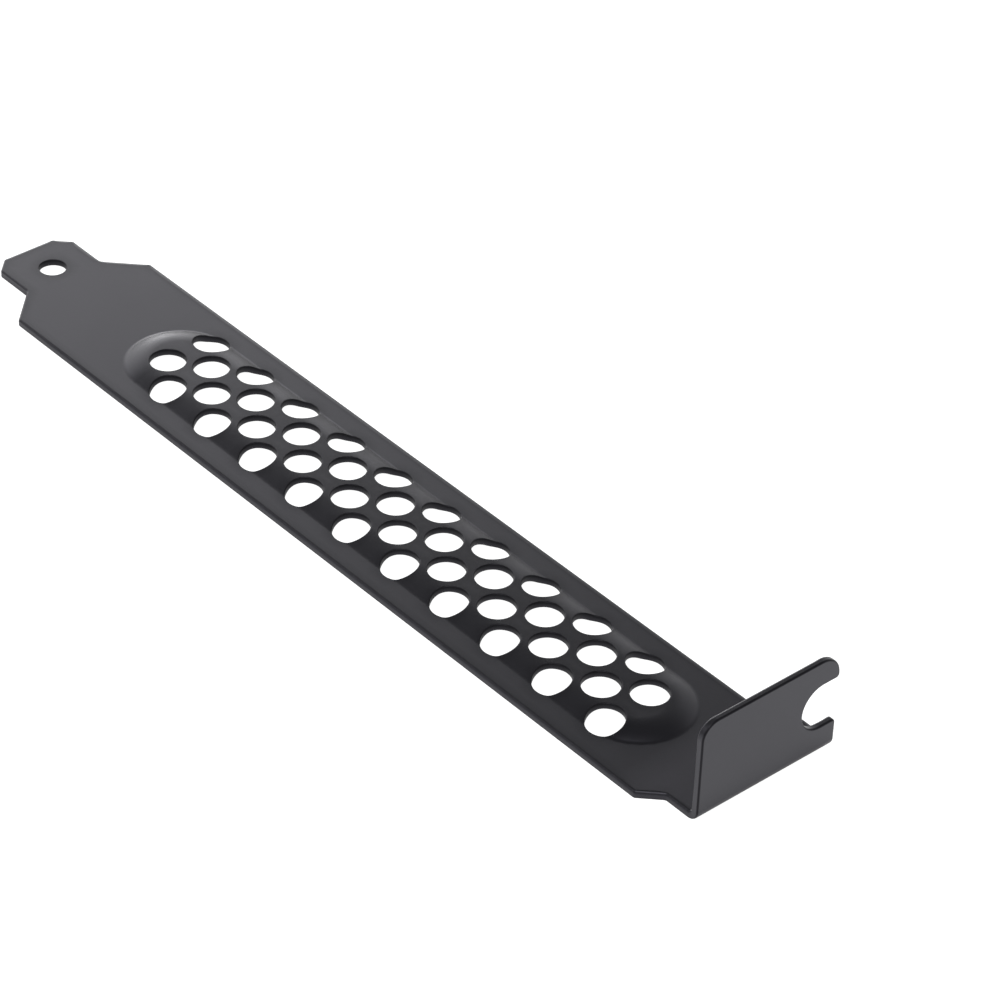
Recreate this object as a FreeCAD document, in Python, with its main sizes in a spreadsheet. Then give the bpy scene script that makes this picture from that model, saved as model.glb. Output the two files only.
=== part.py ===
import FreeCAD, Part
import math
import os

from FreeCAD import Vector
from Sketcher import Constraint

# Expansion slot cover: one strip of sheet steel with a raised, perforated panel
# pressed into it, a narrow tongue at one end and a screw flange bent up at the other.
#
# Datum of the features: X = 0 is the outer face of the flange, Y = 0 the centre line of
# the strip and Z = 0 its flat back face. The strip runs towards -X, the panel and the
# flange stand towards +Z, and the flange is offset towards +Y (the far side).
# Lengths are in millimetres.

SIZES = {
    # strip
    "sheet_thickness": 0.86,
    "strip_width": 18.42,
    "seat_to_tip": 120.02,         # flange's seating face to the end of the tongue
    "corner_radius": 0.5,
    # tongue
    "tongue_width": 10.19,
    "tongue_length": 6.95,         # tip to the start of the sloping shoulders
    "tip_chamfer": 1.75,
    "tongue_hole_diameter": 3.1,
    "tongue_hole_from_tip": 4.8,
    # the strip jogs sideways at 45 degrees before the bend
    "jog": 2.2,
    "jog_start": 6.6,              # from the flange's outer face
    # bend and flange
    "bend_inner_radius": 0.42,
    "flange_reach": 11.26,         # above the strip's front face
    "flange_near_radius": 2.0,
    "flange_far_radius": 2.6,
    "finger_radius": 0.5,
    # screw slot, open at the flange's far edge
    "slot_width": 5.27,
    "slot_depth": 4.76,
    "slot_height": 5.51,           # its centre above the strip's front face
    # raised panel: a stadium with an S-shaped wall all round
    "panel_from_flange": 9.9,      # from the flange's outer face
    "panel_length": 88.4,
    "panel_width": 12.8,
    "panel_rise": 0.85,
    "crown_radius": 6.15,
    "foot_radius": 0.3,
    # vent holes in staggered rows, centred on the panel
    "vent_diameter": 4.1,
    "vent_pitch": 8.0,
    "vent_row_spacing": 3.0,
    "vent_columns": 10,
}

DERIVED = {
    "overall_length": "=seat_to_tip + sheet_thickness",
    "bend_radius": "=bend_inner_radius + sheet_thickness",
    "near_edge": "=jog - strip_width / 2",
    "far_edge": "=jog + strip_width / 2",
    "shoulder": "=(strip_width - tongue_width) / 2",
    "flange_top": "=sheet_thickness + flange_reach",
    "slot_radius": "=slot_width / 2",
    "slot_level": "=sheet_thickness + slot_height",
    "panel_radius": "=panel_width / 2",
    "panel_top": "=sheet_thickness + panel_rise",
    "panel_start": "=-(panel_from_flange + panel_length) + panel_width / 2",
    "panel_end": "=-panel_from_flange - panel_width / 2",
    # two tangent arcs that climb the rise run this far sideways
    "wall_run": "=sqrt(panel_rise * (2 * (crown_radius + foot_radius) - panel_rise))",
    "vent_start": "=-panel_from_flange - panel_length / 2 - (vent_columns - 0.5) * vent_pitch / 2",
    "vent_field": "=(vent_columns - 1) * vent_pitch",
}

doc = FreeCAD.newDocument("slot_cover")
sheet = doc.addObject("Spreadsheet::Sheet", "sizes")
for row, (alias, content) in enumerate((SIZES | DERIVED).items(), start=1):
    sheet.set(f"A{row}", alias)
    sheet.set(f"B{row}", str(content))
    sheet.setAlias(f"B{row}", alias)
doc.recompute()

body = doc.addObject("PartDesign::Body", "slot_cover")
body.Label = "slot_cover"
body.setExpression("Placement.Base.x", "sizes.overall_length / 2")
body.setExpression("Placement.Base.y", "-sizes.jog / 2")


def origin(role):
    """The body's own origin plane or axis with this role."""
    return next(item for item in body.Origin.OriginFeatures if item.Role == role)


def sketch_on(plane, name, offset=None):
    """A sketch on one of the body's origin planes, moved along its normal by an expression."""
    sketch = body.newObject("Sketcher::SketchObject", name)
    sketch.AttachmentSupport = [(origin(plane), "")]
    sketch.MapMode = "FlatFace"
    if offset:
        sketch.setExpression("AttachmentOffset.Base.z", offset)
    return sketch


def drive(sketch, name, expression, constraint):
    """A named constraint whose value follows the sheet."""
    index = sketch.addConstraint(constraint)
    sketch.renameConstraint(index, name)
    sketch.setExpression("Constraints." + name, expression)


def pin(sketch, name, geometry, point, across, up):
    """Hold a point of the sketch at two distances, given as expressions, from the sketch's origin."""
    here = sketch.getPoint(geometry, point)
    drive(sketch, name + "_x", across, Constraint("DistanceX", -1, 1, geometry, point, here.x))
    drive(sketch, name + "_y", up, Constraint("DistanceY", -1, 1, geometry, point, here.y))


def outline(sketch, corners):
    """Closed outline of straight lines through named corners, each pinned by two expressions."""
    count = len(corners)
    turn = 2 * math.pi / count
    loose = [Vector(math.cos(turn * i), math.sin(turn * i), 0) for i in range(count)]
    for i in range(count):
        sketch.addGeometry(Part.LineSegment(loose[i], loose[(i + 1) % count]), False)
    for i in range(count):
        sketch.addConstraint(Constraint("Coincident", i, 2, (i + 1) % count, 1))
    for i, (name, (across, up)) in enumerate(corners.items()):
        pin(sketch, name, i, 1, across, up)


def circle(sketch, name, across, up, diameter):
    """Circle whose centre and diameter follow the sheet."""
    index = sketch.addGeometry(Part.Circle(Vector(1, 1, 0), Vector(0, 0, 1), 1), False)
    pin(sketch, name, index, 3, across, up)
    drive(sketch, name + "_diameter", diameter, Constraint("Diameter", index, 2))


def feature(kind, name, sketch, **values):
    """A feature of the body that takes its profile from a sketch."""
    item = body.newObject("PartDesign::" + kind, name)
    item.Profile = sketch
    for key, value in values.items():
        setattr(item, key, value)
    return item


def volume():
    """Volume of the body so far."""
    doc.recompute()
    return body.Shape.Volume


def cut_through(name, sketch):
    """Pocket right through the sheet, in the direction in which the sketch's plane meets it."""
    before = volume()
    pocket = feature("Pocket", name, sketch, Type="ThroughAll", Reversed=True)
    if volume() >= before:
        raise RuntimeError(name + " cuts nothing")
    return pocket


def round_corners(name, radius, along, places):
    """Fillet the straight edges that run along an axis (0, 1 or 2) through the given places."""
    doc.recompute()
    base = body.Tip
    keep = [axis for axis in range(3) if axis != along]
    picked = []
    for index, edge in enumerate(base.Shape.Edges, start=1):
        first, last = edge.Vertexes[0].Point, edge.Vertexes[-1].Point
        spot = [first[axis] for axis in keep]
        straight = math.dist(spot, [last[axis] for axis in keep]) < 1e-6
        if straight and any(math.dist(spot, place) < 1e-4 for place in places):
            picked.append(f"Edge{index}")
    if len(picked) != len(places):
        raise RuntimeError(f"{name}: {len(picked)} edges for {len(places)} corners")
    fillet = body.newObject("PartDesign::Fillet", name)
    fillet.Base = (base, picked)
    fillet.setExpression("Radius", radius)
    return fillet


# Flat strip, from the tongue's tip to the line where the bend starts.
plan = sketch_on("XY_Plane", "strip_plan")
TIP = "-sizes.overall_length"
corners = {}
for side, sign in (("near", "-"), ("far", "")):
    edge = [
        ("tip", TIP, f"{sign}(sizes.tongue_width / 2 - sizes.tip_chamfer)"),
        ("chamfer", f"{TIP} + sizes.tip_chamfer", f"{sign}sizes.tongue_width / 2"),
        ("root", f"{TIP} + sizes.tongue_length", f"{sign}sizes.tongue_width / 2"),
        ("shoulder", f"{TIP} + sizes.tongue_length + sizes.shoulder", f"{sign}sizes.strip_width / 2"),
        ("jog", "-sizes.jog_start", f"{sign}sizes.strip_width / 2"),
        ("neck", "-sizes.jog_start + sizes.jog", f"sizes.{side}_edge"),
        ("bend", "-sizes.bend_radius", f"sizes.{side}_edge"),
    ]
    if side == "far":
        edge.reverse()
    for name, across, up in edge:
        corners[f"{name}_{side}"] = (across, up)
outline(plan, corners)
strip = feature("Pad", "strip", plan)
strip.setExpression("Length", "sizes.sheet_thickness")
doc.recompute()
turns = [plan.getPoint(i, 1) for i, name in enumerate(corners) if not name.startswith("bend")]
round_corners("strip_corners", "sizes.corner_radius", 2, [(point.x, point.y) for point in turns])

# Bend: the sheet's edge turned through a right angle about a line above it.
edge = sketch_on("YZ_Plane", "bend_section", "-sizes.bend_radius")
outline(edge, {
    "near_back": ("sizes.near_edge", "0"),
    "far_back": ("sizes.far_edge", "0"),
    "far_front": ("sizes.far_edge", "sizes.sheet_thickness"),
    "near_front": ("sizes.near_edge", "sizes.sheet_thickness"),
})
axis = edge.addGeometry(Part.LineSegment(Vector(0, 5, 0), Vector(1, 5, 0)), True)
pin(edge, "axis_near", axis, 1, "sizes.near_edge", "sizes.bend_radius")
pin(edge, "axis_far", axis, 2, "sizes.far_edge", "sizes.bend_radius")
feature("Revolution", "bend", edge, ReferenceAxis=(edge, ["Axis0"]), Angle=90, Reversed=True)

# Flange: it stands on the bend, with its outer face in the plane X = 0.
face = sketch_on("YZ_Plane", "flange_face")
outline(face, {
    "near_foot": ("sizes.near_edge", "sizes.bend_radius"),
    "far_foot": ("sizes.far_edge", "sizes.bend_radius"),
    "far_top": ("sizes.far_edge", "sizes.flange_top"),
    "near_top": ("sizes.near_edge", "sizes.flange_top"),
})
flange = feature("Pad", "flange", face, Reversed=True)
flange.setExpression("Length", "sizes.sheet_thickness")

# Screw slot: a round end and two straight sides that run out past the far edge.
slot = sketch_on("YZ_Plane", "slot_face")
slot.addGeometry(Part.ArcOfCircle(Part.Circle(Vector(9, 6, 0), Vector(0, 0, 1), 2.5), math.pi / 2, 3 * math.pi / 2))
slot.addGeometry(Part.LineSegment(Vector(9, 3.5, 0), Vector(14, 3.5, 0)))
slot.addGeometry(Part.LineSegment(Vector(14, 3.5, 0), Vector(14, 8.5, 0)))
slot.addGeometry(Part.LineSegment(Vector(14, 8.5, 0), Vector(9, 8.5, 0)))
slot.addConstraint([
    Constraint("Tangent", 0, 2, 1, 1),
    Constraint("Coincident", 1, 2, 2, 1),
    Constraint("Coincident", 2, 2, 3, 1),
    Constraint("Tangent", 3, 2, 0, 1),
    Constraint("Horizontal", 1),
    Constraint("Vertical", 2),
    Constraint("Horizontal", 3),
])
drive(slot, "radius", "sizes.slot_radius", Constraint("Radius", 0, 2.5))
pin(slot, "centre", 0, 3, "sizes.far_edge - sizes.slot_depth + sizes.slot_radius", "sizes.slot_level")
drive(slot, "mouth", "sizes.far_edge + sizes.slot_depth", Constraint("DistanceX", -1, 1, 1, 2, 14))
before = volume()
feature("Pocket", "screw_slot", slot, Type="ThroughAll")
if volume() >= before:
    raise RuntimeError("screw_slot cuts nothing")
top = sheet.flange_top
level = sheet.slot_level
round_corners("flange_near_corner", "sizes.flange_near_radius", 0, [(sheet.near_edge, top)])
round_corners("flange_far_corner", "sizes.flange_far_radius", 0, [(sheet.far_edge, top)])
fingers = [(sheet.far_edge, level + side * sheet.slot_radius) for side in (-1, 1)]
round_corners("finger_corners", "sizes.finger_radius", 0, fingers)

# Raised panel: its outline is cut out of the strip, then filled with the pressed form.
# Half of its section, from the middle to the foot, is a flat top, a crown arc and a foot
# arc in the front face, and the same arcs one sheet thickness further in behind it.
opening = sketch_on("XY_Plane", "panel_plan")
radius = sheet.panel_radius
for place, start in ((sheet.panel_end, -math.pi / 2), (sheet.panel_start, math.pi / 2)):
    ring = Part.Circle(Vector(place, 0, 0), Vector(0, 0, 1), radius)
    opening.addGeometry(Part.ArcOfCircle(ring, start, start + math.pi))
for side, first, last in ((1, sheet.panel_end, sheet.panel_start), (-1, sheet.panel_start, sheet.panel_end)):
    opening.addGeometry(Part.LineSegment(Vector(first, side * radius, 0), Vector(last, side * radius, 0)))
opening.addConstraint([
    Constraint("Tangent", 0, 2, 2, 1),
    Constraint("Tangent", 2, 2, 1, 1),
    Constraint("Tangent", 1, 2, 3, 1),
    Constraint("Tangent", 3, 2, 0, 1),
])
drive(opening, "radius", "sizes.panel_radius", Constraint("Radius", 0, radius))
pin(opening, "end", 0, 3, "sizes.panel_end", "0")
pin(opening, "start", 1, 3, "sizes.panel_start", "0")
cut_through("panel_opening", opening)


def half_section(name, offset):
    """Half of the panel's section, across the strip at the given place along it."""
    sketch = sketch_on("YZ_Plane", name, offset)
    foot, rise, top = sheet.panel_radius, sheet.panel_rise, sheet.panel_top
    sheet_t, run = sheet.sheet_thickness, sheet.wall_run
    crown, toe = sheet.crown_radius, sheet.foot_radius
    crown_centre = Vector(foot - run, top - crown, 0)
    foot_centre = Vector(foot, sheet_t + toe, 0)
    lean = math.atan2(foot_centre.y - crown_centre.y, foot_centre.x - crown_centre.x)

    def arc(centre, size, begin, end):
        return sketch.addGeometry(Part.ArcOfCircle(Part.Circle(centre, Vector(0, 0, 1), size), begin, end))

    def line(x1, y1, x2, y2):
        return sketch.addGeometry(Part.LineSegment(Vector(x1, y1, 0), Vector(x2, y2, 0)))

    down = 3 * math.pi / 2
    front_crown = arc(crown_centre, crown, lean, math.pi / 2)
    front_foot = arc(foot_centre, toe, lean + math.pi, down)
    back_foot = arc(foot_centre, toe + sheet_t, lean + math.pi, down)
    back_crown = arc(crown_centre, crown - sheet_t, lean, math.pi / 2)
    rim = line(foot, sheet_t, foot, 0)
    back_flat = line(foot - run, rise, 0, rise)
    middle = line(0, rise, 0, top)
    front_flat = line(0, top, foot - run, top)
    sketch.addConstraint([
        Constraint("Tangent", front_flat, 2, front_crown, 2),
        Constraint("Tangent", front_crown, 1, front_foot, 1),
        Constraint("Coincident", front_foot, 2, rim, 1),
        Constraint("Coincident", rim, 2, back_foot, 2),
        Constraint("Tangent", back_foot, 1, back_crown, 1),
        Constraint("Tangent", back_crown, 2, back_flat, 1),
        Constraint("Coincident", back_flat, 2, middle, 1),
        Constraint("Coincident", middle, 2, front_flat, 1),
        Constraint("Coincident", front_crown, 3, back_crown, 3),
        Constraint("Coincident", front_foot, 3, back_foot, 3),
        Constraint("Horizontal", front_flat),
        Constraint("Horizontal", back_flat),
        Constraint("Vertical", rim),
        Constraint("PointOnObject", middle, 1, -2),
        Constraint("PointOnObject", middle, 2, -2),
    ])
    drive(sketch, "crown", "sizes.crown_radius", Constraint("Radius", front_crown, crown))
    drive(sketch, "top", "sizes.panel_top", Constraint("DistanceY", -1, 1, front_flat, 1, top))
    pin(sketch, "rim_back", rim, 2, "sizes.panel_radius", "0")
    drive(sketch, "rim", "sizes.sheet_thickness", Constraint("DistanceY", rim, 2, rim, 1, sheet_t))
    drive(sketch, "centre", "sizes.panel_radius", Constraint("DistanceX", -1, 1, front_foot, 3, foot))
    drive(sketch, "foot", "sizes.foot_radius", Constraint("Radius", front_foot, toe))
    return sketch


side_section = half_section("side_section", "sizes.panel_start")
side = feature("Pad", "panel_side", side_section)
side.setExpression("Length", "sizes.panel_end - sizes.panel_start")
mirror = body.newObject("PartDesign::Mirrored", "panel_sides")
mirror.Originals = [side]
mirror.MirrorPlane = (origin("XZ_Plane"), [""])
body.Tip = mirror
for name, offset, reverse in (("tongue_end", "sizes.panel_start", False), ("flange_end", "sizes.panel_end", True)):
    section = half_section(name + "_section", offset)
    feature("Revolution", name, section, ReferenceAxis=(section, ["V_Axis"]), Angle=180, Reversed=reverse)

# Vent holes: one hole of each row, then ten columns of them. Every second row is
# shifted by half a pitch.
vents = sketch_on("XY_Plane", "vent_plan")
for row, (shift, place) in enumerate(((0, "1.5"), (0.5, "0.5"), (0, "-0.5"), (0.5, "-1.5")), start=1):
    across = f"sizes.vent_start + {shift} * sizes.vent_pitch"
    circle(vents, f"row{row}", across, f"{place} * sizes.vent_row_spacing", "sizes.vent_diameter")
column = cut_through("vent_column", vents)
field = body.newObject("PartDesign::LinearPattern", "vent_field")
field.Originals = [column]
field.Direction = (origin("X_Axis"), [""])
field.setExpression("Length", "sizes.vent_field")
field.setExpression("Occurrences", "sizes.vent_columns")
body.Tip = field

# Round hole in the tongue.
tongue = sketch_on("XY_Plane", "tongue_plan")
circle(tongue, "hole", f"{TIP} + sizes.tongue_hole_from_tip", "0", "sizes.tongue_hole_diameter")
cut_through("tongue_hole", tongue)

doc.recompute()
for item in doc.Objects:
    if "Invalid" in item.State or "Error" in item.State:
        raise RuntimeError(f"{item.Label} did not build: {item.State}")
shape = body.Shape
if shape.isNull() or not shape.isValid() or len(shape.Solids) != 1:
    raise RuntimeError("the cover is not one valid solid")
os.makedirs("parts", exist_ok=True)
shape.exportStep(f"parts/{body.Label}.step")
box = shape.BoundBox
print(f"{body.Label}: {box.XLength:.2f} x {box.YLength:.2f} x {box.ZLength:.2f} mm, {shape.Volume:.1f} mm3")
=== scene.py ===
import math

import bpy
import numpy as np
from mathutils import Matrix, Vector
from mathutils.geometry import delaunay_2d_cdt


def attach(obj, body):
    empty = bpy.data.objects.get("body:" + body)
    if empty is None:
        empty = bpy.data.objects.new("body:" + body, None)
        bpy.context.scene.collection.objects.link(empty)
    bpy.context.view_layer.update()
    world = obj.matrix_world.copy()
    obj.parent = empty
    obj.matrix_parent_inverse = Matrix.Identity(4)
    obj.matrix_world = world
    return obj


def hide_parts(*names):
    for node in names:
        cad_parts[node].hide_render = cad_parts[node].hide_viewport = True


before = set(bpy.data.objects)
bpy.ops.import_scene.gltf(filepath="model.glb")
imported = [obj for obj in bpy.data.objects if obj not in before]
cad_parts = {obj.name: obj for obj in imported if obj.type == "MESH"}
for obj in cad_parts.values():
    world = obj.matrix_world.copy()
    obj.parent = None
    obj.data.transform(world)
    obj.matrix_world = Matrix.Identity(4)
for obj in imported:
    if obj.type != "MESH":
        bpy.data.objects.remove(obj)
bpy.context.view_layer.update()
scene = bpy.context.scene
scene.view_settings.view_transform = "Standard"

# The blank. The cover is stamped from one strip of sheet steel: a tapered tongue, a sideways
# jog and, past the bend line, the flange with its open slot. It is drawn flat, in millimetres
# from the flange's outer face, the strip's middle line and the sheet's flat back face.
THICK, HEIGHT = 0.86, 12.12
STRIP_HALF = 9.21
TIP = -120.88
TONGUE_HALF, TONGUE_LENGTH, TIP_CHAMFER = 5.095, 6.95, 1.75
TONGUE_ROOT = TIP + TONGUE_LENGTH
TAPER_END = TONGUE_ROOT + STRIP_HALF - TONGUE_HALF
JOG, JOG_START = 2.2, -6.6
NEAR, FAR = JOG - STRIP_HALF, JOG + STRIP_HALF
BEND_INSIDE, BEND_STEPS = 0.42, 9
BEND_START = -(BEND_INSIDE + THICK)
BEND_RUN = math.pi / 2 * (BEND_INSIDE + THICK / 2)
FLANGE_FOOT = BEND_START + BEND_RUN
FLANGE_TOP = FLANGE_FOOT + HEIGHT - BEND_INSIDE - THICK
SLOT_RADIUS, SLOT_DEPTH, SLOT_HEIGHT = 2.635, 4.76, 6.37
SLOT_INNER = FAR - SLOT_DEPTH
SLOT_LEVEL = FLANGE_FOOT + SLOT_HEIGHT - BEND_INSIDE - THICK
SLOT_LOW, SLOT_HIGH = SLOT_LEVEL - SLOT_RADIUS, SLOT_LEVEL + SLOT_RADIUS
CORNER, TOP_NEAR_CORNER, TOP_FAR_CORNER = 0.5, 2.0, 2.6
OUTLINE_STEP = 0.5
SAME = 1e-6


def rounded_path(corners, step, turn_step=math.radians(9)):
    """Closed anticlockwise path through (x, y, radius) corners, as points and outward normals.

    A corner that turns by t is cut off radius * tan(t / 2) before and after it, and an arc
    of that radius takes its place. An arc's point is centre + side * radius * normal, where
    normal = (sin h, -cos h) for the heading h and side is +1 for a left turn.
    """
    spot = np.array([c[:2] for c in corners])
    radius = np.array([c[2] for c in corners])
    leave = np.roll(spot, -1, axis=0) - spot
    leave /= np.linalg.norm(leave, axis=1)[:, None]
    arrive = np.roll(leave, 1, axis=0)
    sine = arrive[:, 0] * leave[:, 1] - arrive[:, 1] * leave[:, 0]
    turn = np.arctan2(sine, (arrive * leave).sum(1))
    cut = radius * np.tan(np.abs(turn) / 2)
    heading = np.arctan2(arrive[:, 1], arrive[:, 0])
    points, normals = [], []
    for i, side in enumerate(np.sign(turn)):
        count = 2 + int(abs(turn[i]) / turn_step) if radius[i] else 1
        h = heading[i] + turn[i] * np.linspace(0, 1, count)
        n = np.stack([np.sin(h), -np.cos(h)], 1)
        start = spot[i] - arrive[i] * cut[i]
        arc = start + side * radius[i] * (n - n[0])
        j = (i + 1) % len(corners)
        gap = np.linalg.norm(spot[j] - arrive[j] * cut[j] - arc[-1])
        if gap < SAME:
            arc, n = arc[:-1], n[:-1]
        along = np.linspace(0, gap, 1 + max(1, round(gap / step)))[1:-1, None]
        points += [arc, arc[-1] + along * leave[i]]
        normals += [n, np.repeat([[leave[i, 1], -leave[i, 0]]], len(along), axis=0)]
    return np.concatenate(points), np.concatenate(normals)


bend_lines = [BEND_START + BEND_RUN * k / BEND_STEPS for k in range(BEND_STEPS + 1)]
outline = rounded_path(
    [(TIP, -TONGUE_HALF + TIP_CHAMFER, CORNER), (TIP + TIP_CHAMFER, -TONGUE_HALF, CORNER),
     (TONGUE_ROOT, -TONGUE_HALF, CORNER), (TAPER_END, -STRIP_HALF, CORNER),
     (JOG_START, -STRIP_HALF, CORNER), (JOG_START + JOG, NEAR, CORNER)]
    + [(x, NEAR, 0) for x in bend_lines]
    + [(FLANGE_TOP, NEAR, TOP_NEAR_CORNER), (FLANGE_TOP, FAR, TOP_FAR_CORNER),
       (SLOT_HIGH, FAR, CORNER), (SLOT_HIGH, SLOT_INNER, SLOT_RADIUS),
       (SLOT_LOW, SLOT_INNER, SLOT_RADIUS), (SLOT_LOW, FAR, CORNER)]
    + [(x, FAR, 0) for x in reversed(bend_lines)]
    + [(JOG_START + JOG, FAR, CORNER), (JOG_START, STRIP_HALF, CORNER),
       (TAPER_END, STRIP_HALF, CORNER), (TONGUE_ROOT, TONGUE_HALF, CORNER),
       (TIP + TIP_CHAMFER, TONGUE_HALF, CORNER), (TIP, TONGUE_HALF - TIP_CHAMFER, CORNER)],
    OUTLINE_STEP)

# The holes. A punch cuts forty vents in four staggered rows and one hole in the tongue; the
# cuts go straight through the sheet, also where the panel's wall slopes.
PANEL_START, PANEL_END, PANEL_HALF = -98.3, -9.9, 6.4
VENT_RADIUS, VENT_PITCH, VENT_POINTS, COLUMNS = 2.05, 8.0, 64, 10
ROW_GAP, ROWS = 3.0, ((1.5, 0), (0.5, 0.5), (-0.5, 0), (-1.5, 0.5))  # (gaps up, pitches along)
TONGUE_HOLE_PLACE, TONGUE_HOLE_RADIUS, TONGUE_HOLE_POINTS = 4.8, 1.55, 40


def round_hole(x, y, radius, count):
    """Circle walked clockwise, so that the sheet lies to its left as it does on the outline.

    A point is centre + radius * (cos t, sin t), and its normal points at the centre.
    """
    turn = -2 * math.pi * np.arange(count) / count
    ring = np.stack([np.cos(turn), np.sin(turn)], 1)
    return np.array([x, y]) + radius * ring, -ring


middle, columns = (PANEL_START + PANEL_END) / 2, np.arange(COLUMNS) - (COLUMNS - 0.5) / 2
vents = np.array([(x + shift * VENT_PITCH, row * ROW_GAP)
                  for row, shift in ROWS for x in middle + VENT_PITCH * columns])
loops = [outline, round_hole(TIP + TONGUE_HOLE_PLACE, 0, TONGUE_HOLE_RADIUS, TONGUE_HOLE_POINTS)]
loops += [round_hole(x, y, VENT_RADIUS, VENT_POINTS) for x, y in vents]
rim, rim_normal = (np.concatenate([loop[k] for loop in loops]) for k in (0, 1))

# The raised panel. A die presses it up by its rise: a stadium with a flat top, a crown arc
# and a short foot arc all round, and the same sheet thickness everywhere.
RISE, CROWN, FOOT = 0.85, 6.15, 1.0
WALL_RUN = math.sqrt(RISE * (2 * (CROWN + FOOT) - RISE))
LEAN = math.asin(WALL_RUN / (CROWN + FOOT))
CORE_HALF, CORE_MIDDLE = (PANEL_END - PANEL_START) / 2 - PANEL_HALF, middle
TINY = 1e-9


def press(plan, front):
    """Height and slope of the front or back face over the plan points.

    q is the distance from the stadium's core line. The height follows a circle of radius
    `crown` about (edge of the flat top, top - crown), then one of radius `foot` about
    (panel half width, thickness + FOOT); the slope is its derivative times the direction of q.
    """
    crown, foot = (CROWN, FOOT) if front else (CROWN - THICK, FOOT + THICK)
    past = plan[:, 0] - CORE_MIDDLE
    away = np.stack([np.sign(past) * np.maximum(np.abs(past) - CORE_HALF, 0), plan[:, 1]], 1)
    q = np.maximum(np.linalg.norm(away, axis=1), TINY)
    top = PANEL_HALF - WALL_RUN
    down = np.clip(q - top, 0, crown * math.sin(LEAN))
    up = np.clip(PANEL_HALF - q, 0, foot * math.sin(LEAN))
    on_foot = q > top + crown * math.sin(LEAN)
    high, low = np.sqrt(crown**2 - down**2), np.sqrt(foot**2 - up**2)
    z = np.where(on_foot, THICK + FOOT - low, THICK + RISE - CROWN + high)
    slope = np.where(on_foot, -up / low, -down / high)
    return z, slope[:, None] * away / q[:, None]


# The cut edges. Punch and coat leave each edge rounded to a quarter ellipse, given here as
# (width, depth): small on the tongue, deep along the near side, wide along the far side, and
# torn at the back of the holes. In a band beside the edge the wet coat draws thin, and its
# shine there is turned down, partly as painted shade.
EDGE_ROLL, NEAR_ROLL, FAR_ROLL = np.array([[0.24, 0.16], [0.3, 0.5], [0.65, 0.2]])
BACK_ROLL, FLANGE_BACK_ROLL = np.array([[0.1, 0.1], [0.22, 0.22]])
HOLE_ROLL, HOLE_BACK_ROLL = np.array([[0.14, 0.1], [0.25, 0.25]])
SIDE_GAIN, NEAR_ROLL_REACH = 0.6, 12
BAND, CORNER_BAND, HOLE_BAND = 1.3, 0.42, 0.36
BAND_GROWTH, LEAST_BAND = 0.4, 0.06


def side_share(facing):
    """0.5 + gain * cosine, kept within 0 and 1: 1 on an edge that faces this side."""
    return np.clip(0.5 + SIDE_GAIN * facing, 0, 1)


in_hole = np.arange(len(rim)) >= len(outline[0])
up_the_bend = np.clip((rim[:, 0] - BEND_START) / BEND_RUN, 0, 1)
toward_near = -rim_normal[:, 1]
far_share = side_share(-toward_near)[:, None]
near_share = side_share(toward_near) * (1 - up_the_bend * np.clip(toward_near, 0, 1))
near_share = near_share * np.clip((rim[:, 0] - TIP - TONGUE_LENGTH) / NEAR_ROLL_REACH, 0, 1)
front_roll = EDGE_ROLL + far_share * (FAR_ROLL - EDGE_ROLL)
front_roll = front_roll + near_share[:, None] * (NEAR_ROLL - EDGE_ROLL)
front_roll[in_hole] = HOLE_ROLL
back_roll = BACK_ROLL + up_the_bend[:, None] * (FLANGE_BACK_ROLL - BACK_ROLL)
back_roll[in_hole] = HOLE_BACK_ROLL

bent = np.abs(outline[1] - np.roll(outline[1], 1, axis=0)).sum(1) > SAME
corner_spots = outline[0][bent | np.roll(bent, -1)]
to_corner = np.linalg.norm(outline[0][:, None] - corner_spots[None], axis=2).min(1)
band = np.full(len(rim), HOLE_BAND)
band[:len(to_corner)] = np.minimum(BAND, CORNER_BAND + BAND_GROWTH * to_corner)
front_roll[:, 0] = np.minimum(front_roll[:, 0], band - LEAST_BAND)

# The skin. The flat blank inside the bands is triangulated once, and the same triangles make
# both faces. Rows of points along every cut join them: the band, the rounded front edge, the
# cut wall and the rounded back edge. Then the sheet is pressed and folded.
RING_STEP, CROWN_RINGS, FOOT_RINGS = 0.35, 9, 6
GRID_STEP, BEND_CLEAR = 1.1, 0.4
FOLD_STEP, FOLD_INSET = 0.5, 0.8
CHUNK = 2000


def nearest_rim(plan):
    """For every point the nearest rim point's number and its depth inside the cut.

    The depth is minus the offset from that rim point along the rim point's outward normal.
    """
    numbers, depths = [], []
    for part in np.array_split(plan, 1 + len(plan) // CHUNK):
        nearest = ((part[:, None, :] - rim[None, :, :]) ** 2).sum(2).argmin(1)
        numbers.append(nearest)
        depths.append(-((part - rim[nearest]) * rim_normal[nearest]).sum(1))
    return np.concatenate(numbers), np.concatenate(depths)


def enclosed(spots, a, b):
    """Even-odd rule: a ray in +x from an enclosed spot meets an odd number of border pieces.

    A piece runs from a to b. It is met where one of its ends lies above the ray and the other
    doesn't, and the crossing, found by proportion along the piece, lies ahead of the spot.
    """
    kept = []
    rise = np.where(a[:, 1] == b[:, 1], 1, b[:, 1] - a[:, 1])
    for part in np.array_split(spots, 1 + len(spots) // CHUNK):
        x, y = part[:, :1], part[:, 1:]
        meet = a[:, 0] + (y - a[:, 1]) / rise * (b[:, 0] - a[:, 0])
        kept.append((((a[:, 1] > y) != (b[:, 1] > y)) & (meet > x)).sum(1) % 2 == 1)
    return np.concatenate(kept)


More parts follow.
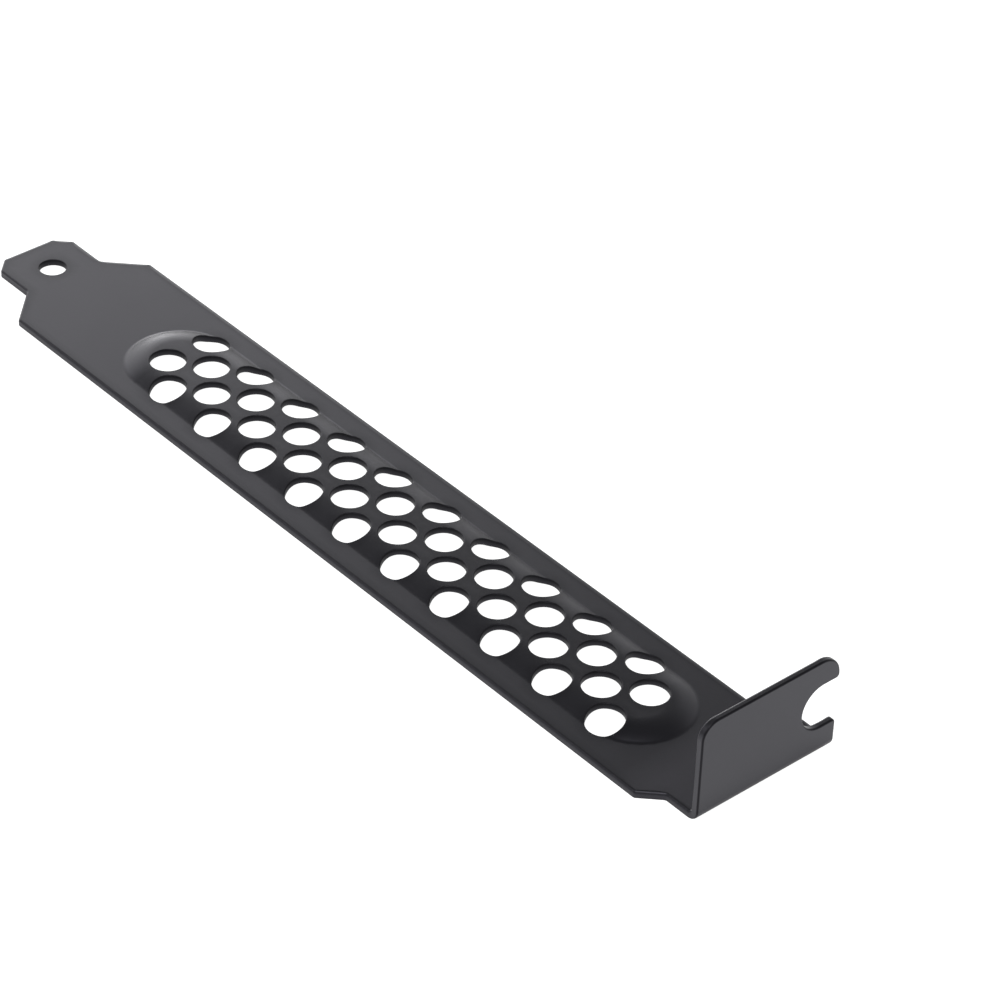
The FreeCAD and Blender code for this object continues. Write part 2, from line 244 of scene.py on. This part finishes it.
def stadium(q, step):
    """Points at distance q from the core line: two straight runs and two half circles."""
    x = np.linspace(-CORE_HALF, CORE_HALF, round(2 * CORE_HALF / step))
    turn = np.linspace(-math.pi / 2, math.pi / 2, max(4, round(math.pi * q / step)))[1:-1]
    cap = np.stack([CORE_HALF + q * np.cos(turn), q * np.sin(turn)], 1)
    runs = [np.stack([x, np.full_like(x, side * q)], 1) for side in (-1, 1)]
    return np.concatenate(runs + [cap, cap * [-1, 1]]) + [CORE_MIDDLE, 0]


crown_rings = PANEL_HALF - WALL_RUN + CROWN * np.sin(np.linspace(0, LEAN, CROWN_RINGS))
foot_rings = PANEL_HALF - FOOT * np.sin(np.linspace(LEAN, 0, FOOT_RINGS))[1:]
rings = np.concatenate([stadium(q, RING_STEP) for q in (*crown_rings, *foot_rings)])
across, along = np.meshgrid(np.arange(NEAR - JOG, FAR, GRID_STEP),
                            np.arange(TIP, FLANGE_TOP, GRID_STEP))
grid = np.stack([along.ravel(), across.ravel()], 1)
on_wall = np.abs(press(grid, True)[1]).sum(1) > 0
on_bend = (grid[:, 0] > BEND_START - BEND_CLEAR) & (grid[:, 0] < FLANGE_FOOT + BEND_CLEAR)
fold_rows = np.arange(NEAR + FOLD_INSET, FAR - FOLD_INSET, FOLD_STEP)
folds = np.stack(np.meshgrid(bend_lines, fold_rows), 2).reshape(-1, 2)
inner = np.concatenate([rings, grid[~on_wall & ~on_bend], folds])
nearest, depth = nearest_rim(inner)
inner = inner[depth > band[nearest] + LEAST_BAND]

lip = rim - rim_normal * band[:, None]
plan = np.concatenate([lip, inner])
begin = np.cumsum([0] + [len(loop[0]) for loop in loops])
after = np.concatenate([np.roll(np.arange(a, b), -1) for a, b in zip(begin[:-1], begin[1:])])
edges = np.stack([np.arange(len(lip)), after], 1)
cut = delaunay_2d_cdt([Vector(p) for p in plan.tolist()], edges.tolist(), [], 1, 1e-7, True)
source = np.array([ids[0] for ids in cut[3]])
faces = source[np.array(cut[2])]
faces = faces[enclosed(plan[faces].mean(1), lip, lip[after])]

# How much of the coat's mirror shine is turned down, as a share of it, at the places that the
# names give: painted shade in the reflections, beside the cuts partly a thin coat; below zero
# it is a painted shine, as in the crook of the flange.
BAND_THIN_COAT_AND_SHADE, WALL_PAINTED_SHADE, BACK_PAINTED_SHADE, CREASE_PAINTED_SHADE = 0.3, 0.9, 0.15, 0.9
CREST_PAINTED_SHADE, CREST_START, CREST_REACH, CREST_SLOPE = 0.25, -85, 20, 0.25
PAINTED_SHINE_GAIN, PAINTED_SHINE_START, PAINTED_SHINE_REACH = 0.7, -10, 4


def rim_row(angle, front):
    """One row of the rim: inset width * (1 - sin a), sunk depth * (1 - cos a) below its face.

    Its normal is the cross product of the rim profile's tangent and the cut's own tangent,
    both laid on the sloping face. The last value is the share of the coat's mirror shine that
    is turned down: from the band's share to the wall's share down a hole and to none on the
    outline, painted shade on the holes' walls and back edges, and a painted shade that peaks
    half way round the flange's outer edge.
    """
    width, depth = (front_roll if front else back_roll).T[:, :, None]
    sign = 1 if front else -1
    plan = rim - rim_normal * width * (1 - math.sin(angle))
    z, slope = press(plan, front)
    tangent = np.stack([-rim_normal[:, 1], rim_normal[:, 0]], 1)
    ahead = rim_normal * width * math.cos(angle)
    sink = (slope * ahead).sum(1) - sign * depth[:, 0] * math.sin(angle)
    profile = np.column_stack([ahead, sink])
    walk = np.column_stack([tangent, (slope * tangent).sum(1)])
    part = angle / (math.pi / 2)
    if front:
        # Painted shade down the holes' walls; beside every cut partly a thin coat, partly painted
        # shade.
        sheen_shade = in_hole * part * WALL_PAINTED_SHADE + BAND_THIN_COAT_AND_SHADE * (1 - part)
    else:
        # Painted shade on the holes' back edges and round the flange's outer edge.
        sheen_shade = in_hole * part * BACK_PAINTED_SHADE + CREASE_PAINTED_SHADE * up_the_bend * math.sin(2 * angle)
    z = z - sign * depth[:, 0] * (1 - math.cos(angle))
    return plan, z, sign * np.cross(profile, walk), sheen_shade


def face_row(plan, front):
    """The flat and pressed surface itself, with its normal (-slope, 1) or its opposite.

    The front's turned-down shine is the sum of three: it falls evenly from the band's share at
    a cut to none at BAND, partly a thin coat and partly painted shade; it grows to a painted
    shade on the panel's flat top from CREST_START on; and a painted shine lowers it from a set
    start before the fold to the bend, beyond which it comes back evenly.
    """
    z, slope = press(plan, front)
    normal = np.column_stack([-slope, np.ones(len(plan))])
    if not front:
        return plan, z, -normal, np.zeros(len(plan))
    x = plan[:, 0]
    # Beside the cuts the shine is turned down, partly for a thin coat and partly as painted
    # shade.
    thin = np.clip(1 - nearest_rim(plan)[1] / BAND, 0, 1)
    # Painted shade on the panel's flat top.
    flatness = np.clip(1 - np.linalg.norm(slope, axis=1) / CREST_SLOPE, 0, 1)
    crest = np.clip((z - THICK) / RISE, 0, 1) * flatness
    crest = crest * np.clip((x - CREST_START) / CREST_REACH, 0, 1)
    # Painted shine in the crook before the fold.
    before_bend = np.clip((FLANGE_FOOT - x) / BEND_RUN, 0, 1)
    painted_shine = np.clip((x - PAINTED_SHINE_START) / PAINTED_SHINE_REACH, 0, 1) * before_bend
    return plan, z, normal, BAND_THIN_COAT_AND_SHADE * thin + CREST_PAINTED_SHADE * crest - PAINTED_SHINE_GAIN * painted_shine


def fold(plan, level):
    """Carries the blank round the bend: level is the height above its back face.

    Past the bend line a point turns by f = 90 degrees * (run / bend run) about the bend's
    axis, at the radius inside + thickness - level, and then goes straight up.
    """
    run = np.clip(plan[:, 0] - BEND_START, 0, BEND_RUN)
    f = run / BEND_RUN * math.pi / 2
    radius = BEND_INSIDE + THICK - level
    x = np.minimum(plan[:, 0], BEND_START) + radius * np.sin(f)
    z = BEND_INSIDE + THICK - radius * np.cos(f) + np.maximum(plan[:, 0] - FLANGE_FOOT, 0)
    return np.stack([x, plan[:, 1], z], 1)


def turned(plan, normal):
    """Turns normals of the blank with the fold, by the same f about the y axis.

    (x, y, z) goes to x * (cos f, 0, sin f) + y * (0, 1, 0) + z * (-sin f, 0, cos f).
    """
    f = np.clip(plan[:, 0] - BEND_START, 0, BEND_RUN) / BEND_RUN * math.pi / 2
    c, s = np.cos(f), np.sin(f)
    x, y, z = normal.T
    return np.stack([x * c - z * s, y, x * s + z * c], 1)


BAND_SHARES = (2 / 3, 1 / 3)
FRONT_TURNS = np.radians([0, 18, 36, 54, 72, 90])
BACK_TURNS = np.radians([90, 60, 30])
MIDDLE = [60.44, -1.1, 0]
layers = [face_row(plan, True)]
for share in BAND_SHARES:
    inset = front_roll[:, 0] + (band - front_roll[:, 0]) * share
    layers.append(face_row(rim - rim_normal * inset[:, None], True))
layers += [rim_row(a, True) for a in FRONT_TURNS] + [rim_row(a, False) for a in BACK_TURNS]
layers.append(face_row(np.concatenate([rim - rim_normal * back_roll[:, :1], inner]), False))
flat, height, normal, sheen_shade = (np.concatenate([layer[k] for layer in layers]) for k in range(4))
points = fold(flat, height) + MIDDLE
normal = turned(flat, normal)
normal /= np.linalg.norm(normal, axis=1)[:, None]

starts = np.cumsum([0] + [len(layer[0]) for layer in layers])
first_turned, back_face = starts[len(BAND_SHARES) + 2], starts[-2]
i, j = np.arange(len(rim)), after
walls = [np.stack([a + i, b + i, b + j, a + j], 1) for a, b in zip(starts[:-2], starts[1:-1])]
polygons = faces.tolist() + np.concatenate(walls).tolist() + (faces[:, ::-1] + back_face).tolist()

mesh = bpy.data.meshes.new("cover_sheet")
mesh.from_pydata((points / 1000).tolist(), [], polygons)
mesh.shade_smooth()
mesh.normals_split_custom_set_from_vertices(normal.tolist())
edge_row = np.zeros(len(points), np.float32)
edge_row[first_turned:back_face] = 1
# The second attribute carries the painted shade and shine for the coat's mirror shine.
for name, values in (("cut_edge", edge_row), ("painted_sheen_shade", sheen_shade.astype(np.float32))):
    mesh.attributes.new(name, "FLOAT", "POINT").data.foreach_set("value", values)
cover = bpy.data.objects.new("cover_sheet", mesh)
scene.collection.objects.link(cover)
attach(cover, "root")
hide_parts("slot_cover")

# The coat. The folded sheet is dipped and baked in a thin satin black coat: nearly black, a
# little blue, with a faint orange peel, and paler in patches where hands rub the cut edges.
# Its mirror shine follows the sheet's own attribute, which turns it down as painted shade
# (beside the cuts partly a thin coat) and up as a painted shine by the flange's foot.
DARK_COAT, LIGHT_COAT = (0.0105, 0.0105, 0.0125), (0.0125, 0.0125, 0.0145)
RUBBED_COAT, BLUE_SHEEN = (0.02, 0.02, 0.022), (0.88, 0.86, 1.0, 1)
CLOUD_MM, PATCH_MM, DRIFT_MM, PEEL_MM = 9.0, 4.0, 6.0, 0.45
coat = bpy.data.materials.new("satin_black_coat")
coat.use_nodes = True
nodes, links = coat.node_tree.nodes, coat.node_tree.links
paint = nodes["Principled BSDF"]
paint.inputs["IOR"].default_value = 1.5
paint.inputs["Specular Tint"].default_value = BLUE_SHEEN
place = nodes.new("ShaderNodeTexCoord")


def noise(name, size_mm, detail=2.0):
    """Noise on object coordinates whose blotches are about size_mm across."""
    node = nodes.new("ShaderNodeTexNoise")
    node.name = name
    node.inputs["Scale"].default_value = 1000 / size_mm
    node.inputs["Detail"].default_value = detail
    links.new(place.outputs["Object"], node.inputs["Vector"])
    return node.outputs["Fac"]


def spread(value, low, high, from_low=0.3, from_high=0.7):
    """Maps from_low..from_high, a noise's usual range, evenly on to low..high."""
    node = nodes.new("ShaderNodeMapRange")
    limits = {"From Min": from_low, "From Max": from_high, "To Min": low, "To Max": high}
    for socket, number in limits.items():
        node.inputs[socket].default_value = number
    links.new(value, node.inputs["Value"])
    return node.outputs["Result"]


def blend_colours(amount, dark, light):
    """Colour between dark and light by amount; either may be a plain colour or a socket."""
    node = nodes.new("ShaderNodeMix")
    node.data_type = "RGBA"
    links.new(amount, node.inputs["Factor"])
    for socket, colour in (("A", dark), ("B", light)):
        target = next(s for s in node.inputs if s.name == socket and s.type == "RGBA")
        if isinstance(colour, tuple):
            target.default_value = (*colour, 1)
        else:
            links.new(colour, target)
    return next(s for s in node.outputs if s.type == "RGBA")


rubbed = nodes.new("ShaderNodeAttribute")
rubbed.attribute_name = "cut_edge"
patchy = nodes.new("ShaderNodeMath")
patchy.operation = "MULTIPLY"
links.new(rubbed.outputs["Fac"], patchy.inputs[0])
links.new(spread(noise("rub_patches", PATCH_MM), 0.1, 0.6), patchy.inputs[1])
body_colour = blend_colours(noise("coat_clouds", CLOUD_MM), DARK_COAT, LIGHT_COAT)
worn_colour = blend_colours(patchy.outputs[0], body_colour, RUBBED_COAT)
links.new(worn_colour, paint.inputs["Base Color"])
links.new(spread(noise("sheen_drift", DRIFT_MM, 4.0), 0.37, 0.39), paint.inputs["Roughness"])
# Painted shade and shine: the sheet's attribute turns the mirror shine down, or up below zero.
sheen_shade_attribute = nodes.new("ShaderNodeAttribute")
sheen_shade_attribute.attribute_name = "painted_sheen_shade"
shine = spread(sheen_shade_attribute.outputs["Fac"], 1.0, 0.0, from_low=-1.0, from_high=1.0)
links.new(shine, paint.inputs["Specular IOR Level"])
peel = nodes.new("ShaderNodeBump")
peel.inputs["Strength"].default_value = 0.12
peel.inputs["Distance"].default_value = 0.00002
links.new(noise("orange_peel", PEEL_MM), peel.inputs["Height"])
links.new(peel.outputs["Normal"], paint.inputs["Normal"])
mesh.materials.append(coat)

# The floor. White card under the cover. It throws light back as pale card does; the camera
# sees it as white paper with a faint shadow, and reflections see it darker close to the sheet,
# where little light gets under it: there its glow is dimmed by painted shade.
FLOOR_HALF, FLOOR_CELLS, FLOOR_GAP = 3.0, 24, 0.00004
CREVICE, GRAIN_MM = 0.003, 150.0
CARD_DARK, CARD_LIGHT, WHITE = (0.80, 0.80, 0.80), (0.83, 0.83, 0.83), (1.0, 1.0, 1.0)
SHADOW_DARK, SHADOW_LIGHT = (0.40, 0.40, 0.40), (0.41, 0.41, 0.41)
side = np.linspace(-FLOOR_HALF, FLOOR_HALF, FLOOR_CELLS + 1)
fx, fy = np.meshgrid(side, side)
card = np.stack([fx.ravel(), fy.ravel(), np.full(fx.size, -FLOOR_GAP)], 1)
row = FLOOR_CELLS + 1
a = (np.arange(FLOOR_CELLS)[:, None] * row + np.arange(FLOOR_CELLS)).ravel()
floor_mesh = bpy.data.meshes.new("white_card")
floor_mesh.from_pydata(card.tolist(), [], np.stack([a, a + 1, a + row + 1, a + row], 1).tolist())
floor = bpy.data.objects.new("white_card", floor_mesh)
scene.collection.objects.link(floor)
paper = bpy.data.materials.new("white_card")
paper.use_nodes = True
nodes, links = paper.node_tree.nodes, paper.node_tree.links
plain = nodes["Principled BSDF"]
plain.inputs["Roughness"].default_value = 0.9
plain.inputs["Specular IOR Level"].default_value = 0.1
place = nodes.new("ShaderNodeTexCoord")
card_colour = blend_colours(noise("paper_tone", GRAIN_MM), CARD_DARK, CARD_LIGHT)
links.new(card_colour, plain.inputs["Base Color"])
seen_colour = blend_colours(noise("paper_tone_seen", GRAIN_MM), SHADOW_DARK, SHADOW_LIGHT)
matte = nodes.new("ShaderNodeBsdfDiffuse")
links.new(seen_colour, matte.inputs["Color"])
# Painted shade: dims the glow that reflections see close to the sheet.
painted_crevice_shade = nodes.new("ShaderNodeAmbientOcclusion")
painted_crevice_shade.samples = 8
painted_crevice_shade.inputs["Distance"].default_value = CREVICE
glow = nodes.new("ShaderNodeEmission")
glow.inputs["Strength"].default_value = 1.0
both = nodes.new("ShaderNodeAddShader")
links.new(matte.outputs[0], both.inputs[0])
links.new(glow.outputs[0], both.inputs[1])
ray = nodes.new("ShaderNodeLightPath")
glow_colour = blend_colours(ray.outputs["Is Camera Ray"], painted_crevice_shade.outputs["Color"], WHITE)
links.new(glow_colour, glow.inputs["Color"])
seen = nodes.new("ShaderNodeMath")
seen.operation = "MAXIMUM"
links.new(ray.outputs["Is Camera Ray"], seen.inputs[0])
links.new(ray.outputs["Is Glossy Ray"], seen.inputs[1])
pick = nodes.new("ShaderNodeMixShader")
links.new(seen.outputs[0], pick.inputs["Fac"])
links.new(plain.outputs[0], pick.inputs[1])
links.new(both.outputs[0], pick.inputs[2])
links.new(pick.outputs[0], nodes["Material Output"].inputs["Surface"])
floor_mesh.materials.append(paper)

# The studio. A dim even room that the camera sees as white, and five soft boxes: two large
# ones high on the near side, and three low ones behind, two past the tongue and a large faint
# one past the far side, whose reflections fade along the strip.
ROOM_TINT, ROOM_STRENGTH = (0.98, 0.98, 1.0, 1), 0.056
world = bpy.data.worlds.new("studio")
scene.world = world
world.use_nodes = True
nodes, links = world.node_tree.nodes, world.node_tree.links
room = nodes["Background"]
room.inputs["Color"].default_value = ROOM_TINT
room.inputs["Strength"].default_value = ROOM_STRENGTH
open_white = nodes.new("ShaderNodeBackground")
open_white.inputs["Color"].default_value = (*WHITE, 1)
open_white.inputs["Strength"].default_value = 1.0
ray = nodes.new("ShaderNodeLightPath")
pick = nodes.new("ShaderNodeMixShader")
links.new(ray.outputs["Is Camera Ray"], pick.inputs["Fac"])
links.new(room.outputs[0], pick.inputs[1])
links.new(open_white.outputs[0], pick.inputs[2])
links.new(pick.outputs[0], nodes["World Output"].inputs["Surface"])


def soft_box(name, place, width, height, radiance, aim=(0, 0, 0)):
    """Rectangular lamp at place, facing aim.

    A lamp of power P and area A glows with the radiance P / (pi * A).
    """
    lamp = bpy.data.lights.new(name, "AREA")
    lamp.shape = "RECTANGLE"
    lamp.size, lamp.size_y = width, height
    lamp.energy = radiance * math.pi * width * height
    box = bpy.data.objects.new(name, lamp)
    scene.collection.objects.link(box)
    box.location = place
    box.rotation_euler = (Vector(aim) - Vector(place)).to_track_quat("-Z", "Y").to_euler()
    box.visible_camera = False


soft_box("key", (0.55, -0.75, 1.25), width=1.0, height=0.8, radiance=5.5)
soft_box("side", (-0.9, -0.9, 0.7), width=0.8, height=0.6, radiance=1.5)
soft_box("tongue_glow", (-0.953, 0.561, 0.111), width=0.092, height=0.226, radiance=8.2,
         aim=(-0.02, 0, 0))
soft_box("low_glow", (-0.356, 0.082, 0.135), width=0.492, height=0.265, radiance=2.04)
soft_box("far_glow", (0.012, 0.502, 0.098), width=1.09, height=0.647, radiance=0.715)

# The camera. Its place, turn and lens come from the cover's own known lengths in the photo.
EYE = (0.26453916, -0.21848643, 0.25677959)
RIGHT = Vector((0.65059869, 0.75879853, 0.03075953))
UP = Vector((-0.47084215, 0.37126137, 0.80029537))
FORWARD = Vector((-0.59584312, 0.53515399, -0.59881649))
LENS_MM, SENSOR_MM = 144.687, 36.0
camera_data = bpy.data.cameras.new("camera")
camera_data.lens = LENS_MM
camera_data.sensor_width = SENSOR_MM
camera_data.clip_start, camera_data.clip_end = 0.01, 20.0
camera = bpy.data.objects.new("camera", camera_data)
scene.collection.objects.link(camera)
turn = Matrix((RIGHT, UP, -FORWARD)).transposed().to_4x4()
camera.matrix_world = Matrix.Translation(EYE) @ turn
scene.camera = camera
